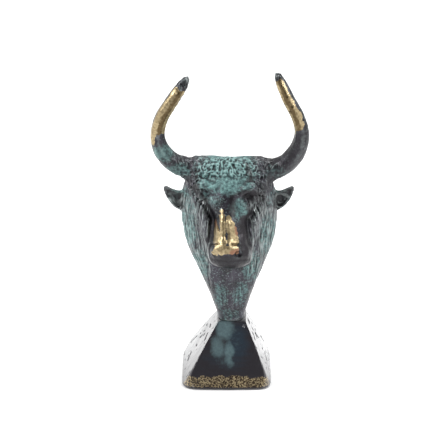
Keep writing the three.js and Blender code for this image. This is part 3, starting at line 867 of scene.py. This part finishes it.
def patinated_cast_bronze():
    """Cast bronze under a brown patina: dark and half metallic, with chalky verdigris where it gathered,
    silvery where the wax is rubbed thin and as a painted highlight on the fur strokes and crests, painted
    shade in its grooves, sockets and hollows, and golden where the metal is bare, with a painted dark
    reflection down each horn's gilding."""
    material, tree = blank_material("patinated_cast_bronze")
    place = add(tree, "ShaderNodeTexCoord", {}).outputs["Object"]
    read = {}
    for label in ("hollow_fine", "hollow_broad", "gilt", "tarnish_and_reflection", "copper", "shade", "green", "strokes",
                  "comb_across", "comb_along"):
        read[label] = add(tree, "ShaderNodeAttribute", {"attribute_name": label}).outputs["Fac"]

    # patina in clouds of brown and violet, with pale specks in its pores
    cloud = add(tree, "ShaderNodeTexNoise", {"Scale": per_mm(6), "Detail": 5},
                {"Vector": place}).outputs["Fac"]
    spread_of = add(tree, "ShaderNodeMapRange", {1: 0.4, 2: 0.62}, {0: cloud}).outputs[0]
    patina = add(tree, "ShaderNodeMix", {"data_type": "RGBA", 6: BROWN_PATINA, 7: VIOLET_PATINA},
                 {0: spread_of}).outputs[2]
    pores = add(tree, "ShaderNodeTexNoise", {"Scale": per_mm(0.8), "Detail": 3, "Roughness": 0.6},
                {"Vector": place}).outputs["Fac"]
    speck = add(tree, "ShaderNodeMapRange", {1: 0.54, 2: 0.72, 3: 0, 4: 0.55}, {0: pores}).outputs[0]
    patina = add(tree, "ShaderNodeMix", {"data_type": "RGBA", 7: PALE_SPECK},
                 {0: speck, 6: patina}).outputs[2]

    # verdigris, lighter on the crests of the fine relief as a painted highlight and darker in its hollows as
    # painted shade
    crumbs = add(tree, "ShaderNodeTexNoise", {"Scale": per_mm(1.3), "Detail": 3, "Roughness": 0.65},
                 {"Vector": place}).outputs["Fac"]
    crest_highlight_and_shade = add(tree, "ShaderNodeMapRange", {1: -0.12, 2: 0.14, 3: -0.28, 4: 0.28},
                {0: read["hollow_fine"]}).outputs[0]
    light = add(tree, "ShaderNodeMath", {"operation": "ADD"}, {0: crumbs, 1: crest_highlight_and_shade}).outputs[0]
    light = add(tree, "ShaderNodeMapRange", {1: 0.36, 2: 0.84}, {0: light}).outputs[0]
    verdigris = add(tree, "ShaderNodeMix", {"data_type": "RGBA", 6: DEEP_GREEN, 7: VERDIGRIS},
                    {0: light}).outputs[2]
    patch = add(tree, "ShaderNodeMath", {"operation": "ADD"}, {0: crumbs, 1: read["green"]}).outputs[0]
    cover = add(tree, "ShaderNodeMapRange", {1: 0.72, 2: 1.15, 3: 0, 4: 0.92}, {0: patch}).outputs[0]
    coloured = add(tree, "ShaderNodeMix", {"data_type": "RGBA"},
                   {0: cover, 6: patina, 7: verdigris}).outputs[2]

    # painted shade in the sockets, grooves and broad valleys, and soot with painted shade in the fine pits
    painted_shade_amount = add(tree, "ShaderNodeMath", {"operation": "MULTIPLY", 1: 0.85}, {0: read["shade"]}).outputs[0]
    coloured = add(tree, "ShaderNodeMix", {"data_type": "RGBA", 7: PAINTED_SHADE_BROWN},
                   {0: painted_shade_amount, 6: coloured}).outputs[2]
    # fine pits: soot with painted shade
    pits = add(tree, "ShaderNodeMapRange", {1: -0.15, 2: 0.0, 3: 0.92, 4: 0},
               {0: read["hollow_fine"]}).outputs[0]
    sooty_and_shaded = add(tree, "ShaderNodeMix", {"data_type": "RGBA", 7: SOOT_AND_SHADE}, {0: pits, 6: coloured}).outputs[2]
    # broad valleys: painted shade
    valleys = add(tree, "ShaderNodeMapRange", {1: -1.6, 2: -0.3, 3: 0.75, 4: 0},
                  {0: read["hollow_broad"]}).outputs[0]
    sooty_and_shaded = add(tree, "ShaderNodeMix", {"data_type": "RGBA", 7: PAINTED_SHADE_BROWN},
                {0: valleys, 6: sooty_and_shaded}).outputs[2]

    # hairs: a noise drawn out along the lie of the fur, with a painted silvery highlight where it is high and
    # painted shade where it is low
    comb = add(tree, "ShaderNodeCombineXYZ", {},
               {0: read["comb_across"], 1: read["comb_along"]}).outputs[0]
    combed = add(tree, "ShaderNodeMapping", {"Scale": (1 / 0.62, 1 / 6.5, 1)}, {"Vector": comb}).outputs[0]
    hairs = add(tree, "ShaderNodeTexNoise", {"Scale": 1, "Detail": 2, "Roughness": 0.6},
                {"Vector": combed}).outputs["Fac"]
    gap_shade = add(tree, "ShaderNodeMapRange", {1: 0.34, 2: 0.48, 3: 0.75, 4: 0}, {0: hairs}).outputs[0]
    gap_shade = add(tree, "ShaderNodeMath", {"operation": "MULTIPLY"}, {0: gap_shade, 1: read["strokes"]}).outputs[0]
    sooty_and_shaded = add(tree, "ShaderNodeMix", {"data_type": "RGBA", 7: BROWN_PATINA},
                {0: gap_shade, 6: sooty_and_shaded}).outputs[2]
    stroke_highlight = add(tree, "ShaderNodeMapRange", {1: 0.48, 2: 0.66}, {0: hairs}).outputs[0]
    stroke_highlight = add(tree, "ShaderNodeMath", {"operation": "MULTIPLY"},
                 {0: stroke_highlight, 1: read["strokes"]}).outputs[0]
    # crests of the fine relief: silvery where the wax is rubbed thin, and a painted highlight
    ridge = add(tree, "ShaderNodeMapRange", {1: 0.03, 2: 0.2, 3: 0, 4: 0.5},
                {0: read["hollow_fine"]}).outputs[0]
    wear_and_sheen = add(tree, "ShaderNodeMath", {"operation": "MAXIMUM"}, {0: stroke_highlight, 1: ridge}).outputs[0]
    wear_and_sheen = add(tree, "ShaderNodeMath", {"operation": "MULTIPLY", 1: 0.75}, {0: wear_and_sheen}).outputs[0]
    with_wear_and_sheen = add(tree, "ShaderNodeMix", {"data_type": "RGBA", 7: SILVERY_WEAR_AND_SHEEN}, {0: wear_and_sheen, 6: sooty_and_shaded}).outputs[2]

    # bare golden bronze with a ragged edge, browner in its grooves, and darker in each horn's band of painted
    # reflection
    scuffs = add(tree, "ShaderNodeTexNoise", {"Scale": per_mm(1.1), "Detail": 4},
                 {"Vector": place}).outputs["Fac"]
    ragged = add(tree, "ShaderNodeMath", {"operation": "ADD"}, {0: read["gilt"], 1: scuffs}).outputs[0]
    bare = add(tree, "ShaderNodeMapRange", {1: 0.86, 2: 1.0}, {0: ragged}).outputs[0]
    worn = add(tree, "ShaderNodeMapRange", {1: 0.36, 2: 0.66, 3: 0.6, 4: 0}, {0: scuffs}).outputs[0]
    tarnish_with_reflection = add(tree, "ShaderNodeMath", {"operation": "ADD", "use_clamp": True},
                  {0: worn, 1: read["tarnish_and_reflection"]}).outputs[0]
    gold = add(tree, "ShaderNodeMix", {"data_type": "RGBA", 6: GOLDEN, 7: GOLDEN_SHADE},
               {0: tarnish_with_reflection}).outputs[2]
    gold = add(tree, "ShaderNodeMix", {"data_type": "RGBA", 7: COPPER},
               {0: read["copper"], 6: gold}).outputs[2]
    colour = add(tree, "ShaderNodeMix", {"data_type": "RGBA"}, {0: bare, 6: with_wear_and_sheen, 7: gold}).outputs[2]

    dull = add(tree, "ShaderNodeMapRange", {3: 0.36, 4: 0.7}, {0: cover}).outputs[0]
    rough = add(tree, "ShaderNodeMix", {"data_type": "FLOAT", 3: 0.34}, {0: bare, 2: dull}).outputs[0]
    metal = add(tree, "ShaderNodeMapRange", {3: 0.6, 4: 0.1}, {0: cover}).outputs[0]
    shine = add(tree, "ShaderNodeMix", {"data_type": "FLOAT", 3: 0.8}, {0: bare, 2: metal}).outputs[0]
    bump = add(tree, "ShaderNodeBump", {"Strength": 0.6, "Distance": 0.25 * METRES},
               {"Height": pores}).outputs[0]
    shader = add(tree, "ShaderNodeBsdfPrincipled", {"Coat Weight": 0.1, "Coat Roughness": 0.2},
                 {"Base Color": colour, "Roughness": rough, "Metallic": shine, "Normal": bump})
    add(tree, "ShaderNodeOutputMaterial", {}, {"Surface": shader.outputs[0]})
    return material


def waxed_dark_bronze():
    """Cast bronze under a blue-black patina and polished wax: near black, and glossy enough for
    its sides to mirror the pale studio, with a green wash and a golden speckled foot."""
    material, tree = blank_material("waxed_dark_bronze")
    place = add(tree, "ShaderNodeTexCoord", {}).outputs["Object"]
    read = {}
    for label in ("gilt", "green", "blue"):
        read[label] = add(tree, "ShaderNodeAttribute", {"attribute_name": label}).outputs["Fac"]
    # patina: brown-black low down, slate blue higher up, brushed on in level strokes
    brushed = add(tree, "ShaderNodeMapping", {"Scale": (per_mm(9), per_mm(9), per_mm(1.4))},
                  {"Vector": place}).outputs[0]
    strokes = add(tree, "ShaderNodeTexNoise", {"Scale": 1, "Detail": 4, "Roughness": 0.65},
                  {"Vector": brushed}).outputs["Fac"]
    strokes = add(tree, "ShaderNodeMapRange", {1: 0.3, 2: 0.75, 3: -0.35, 4: 0.3}, {0: strokes}).outputs[0]
    slate = add(tree, "ShaderNodeMath", {"operation": "ADD", "use_clamp": True},
                {0: read["blue"], 1: strokes}).outputs[0]
    patina = add(tree, "ShaderNodeMix", {"data_type": "RGBA", 6: PLINTH_BROWN, 7: PLINTH_SLATE},
                 {0: slate}).outputs[2]
    # green wash, thinning out into specks
    crumbs = add(tree, "ShaderNodeTexNoise", {"Scale": per_mm(1.1), "Detail": 5, "Roughness": 0.75},
                 {"Vector": place}).outputs["Fac"]
    patch = add(tree, "ShaderNodeMath", {"operation": "ADD"}, {0: crumbs, 1: read["green"]}).outputs[0]
    cover = add(tree, "ShaderNodeMapRange", {1: 0.7, 2: 1.4, 3: 0, 4: 0.85}, {0: patch}).outputs[0]
    coloured = add(tree, "ShaderNodeMix", {"data_type": "RGBA", 7: PLINTH_WASH},
                   {0: cover, 6: patina}).outputs[2]
    # golden foot: grains of bare metal among brown pits
    sand = add(tree, "ShaderNodeTexNoise", {"Scale": per_mm(0.75), "Detail": 2, "Roughness": 0.6},
               {"Vector": place}).outputs["Fac"]
    ragged = add(tree, "ShaderNodeMath", {"operation": "ADD"}, {0: read["gilt"], 1: sand}).outputs[0]
    bare = add(tree, "ShaderNodeMapRange", {1: 0.95, 2: 1.1}, {0: ragged}).outputs[0]
    grain = add(tree, "ShaderNodeMapRange", {1: 0.45, 2: 0.64}, {0: sand}).outputs[0]
    gold = add(tree, "ShaderNodeMix", {"data_type": "RGBA", 6: FOOT_BROWN, 7: GOLDEN}, {0: grain}).outputs[2]
    colour = add(tree, "ShaderNodeMix", {"data_type": "RGBA"}, {0: bare, 6: coloured, 7: gold}).outputs[2]
    dull = add(tree, "ShaderNodeMapRange", {3: 0.28, 4: 0.5}, {0: cover}).outputs[0]
    rough = add(tree, "ShaderNodeMix", {"data_type": "FLOAT", 3: 0.4}, {0: bare, 2: dull}).outputs[0]
    shine = add(tree, "ShaderNodeMix", {"data_type": "FLOAT", 2: 0.2, 3: 0.5}, {0: bare}).outputs[0]
    bump = add(tree, "ShaderNodeBump", {"Strength": 0.4, "Distance": 0.15 * METRES},
               {"Height": sand}).outputs[0]
    shader = add(tree, "ShaderNodeBsdfPrincipled", {"Coat Weight": 1.0, "Coat Roughness": 0.08},
                 {"Base Color": colour, "Roughness": rough, "Metallic": shine, "Normal": bump})
    add(tree, "ShaderNodeOutputMaterial", {}, {"Surface": shader.outputs[0]})
    return material


def studio_card(name, colour):
    """Matt painted card."""
    material, tree = blank_material(name)
    shader = add(tree, "ShaderNodeBsdfPrincipled", {"Base Color": linear(colour), "Roughness": 0.9})
    add(tree, "ShaderNodeOutputMaterial", {}, {"Surface": shader.outputs[0]})
    return material


# Studio

def make_camera():
    data = bpy.data.cameras.new("camera")
    data.lens = FOCAL_LENGTH
    data.sensor_width = SENSOR_WIDTH
    data.clip_start = 0.01
    made = bpy.data.objects.new("camera", data)
    look = Vector((0, math.cos(CAMERA_ELEVATION), -math.sin(CAMERA_ELEVATION)))
    made.location = (Vector(CAMERA_TARGET) - CAMERA_DISTANCE * look) * METRES
    made.rotation_euler = look.to_track_quat("-Z", "Y").to_euler()
    bpy.context.scene.collection.objects.link(made)
    bpy.context.scene.camera = made


def make_light(name, place, size, power):
    data = bpy.data.lights.new(name, "AREA")
    data.shape = "DISK"
    data.size = size
    data.energy = power
    made = bpy.data.objects.new(name, data)
    made.location = place
    aim = Vector((0, 0, 0.09)) - Vector(place)
    made.rotation_euler = aim.to_track_quat("-Z", "Y").to_euler()
    bpy.context.scene.collection.objects.link(made)


def card(name, corners, material):
    """A flat card of the studio, given by its corners in metres."""
    made = mesh_object(name, np.array(corners, float) / METRES, [(0, 1, 2, 3)])
    made.data.materials.append(material)
    return made


def make_studio():
    world = bpy.data.worlds.new("studio")
    world.use_nodes = True
    sky = world.node_tree.nodes["Background"]
    sky.inputs["Color"].default_value = (1, 1, 1, 1)
    sky.inputs["Strength"].default_value = 1.0
    bpy.context.scene.world = world
    bpy.context.scene.view_settings.view_transform = "Standard"
    side = 3
    card("floor", [(-side, -side, 0), (side, -side, 0), (side, side, 0), (-side, side, 0)],
         studio_card("white_card", "#F6F6F6"))
    # a black card behind the camera, which only shows as the dark in the metal
    dark = card("black_card", [(-1.3, -1.1, 0.12), (1.3, -1.1, 0.12), (1.3, -1.0, 2.2), (-1.3, -1.0, 2.2)],
                studio_card("black_card", "#0C0C0C"))
    dark.visible_camera = False
    make_light("left", (-0.9, -0.35, 0.75), 0.35, 9)
    make_light("right", (0.8, -0.5, 0.6), 0.3, 5)
    make_light("top", (0.1, 0.2, 1.1), 0.5, 7)


make_camera()
make_studio()
bust = make_bust()
bust.data.materials.append(patinated_cast_bronze())
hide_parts("bust")
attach(bust, "root")
plinth = make_plinth()
plinth.data.materials.append(waxed_dark_bronze())
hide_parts("plinth")
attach(plinth, "root")
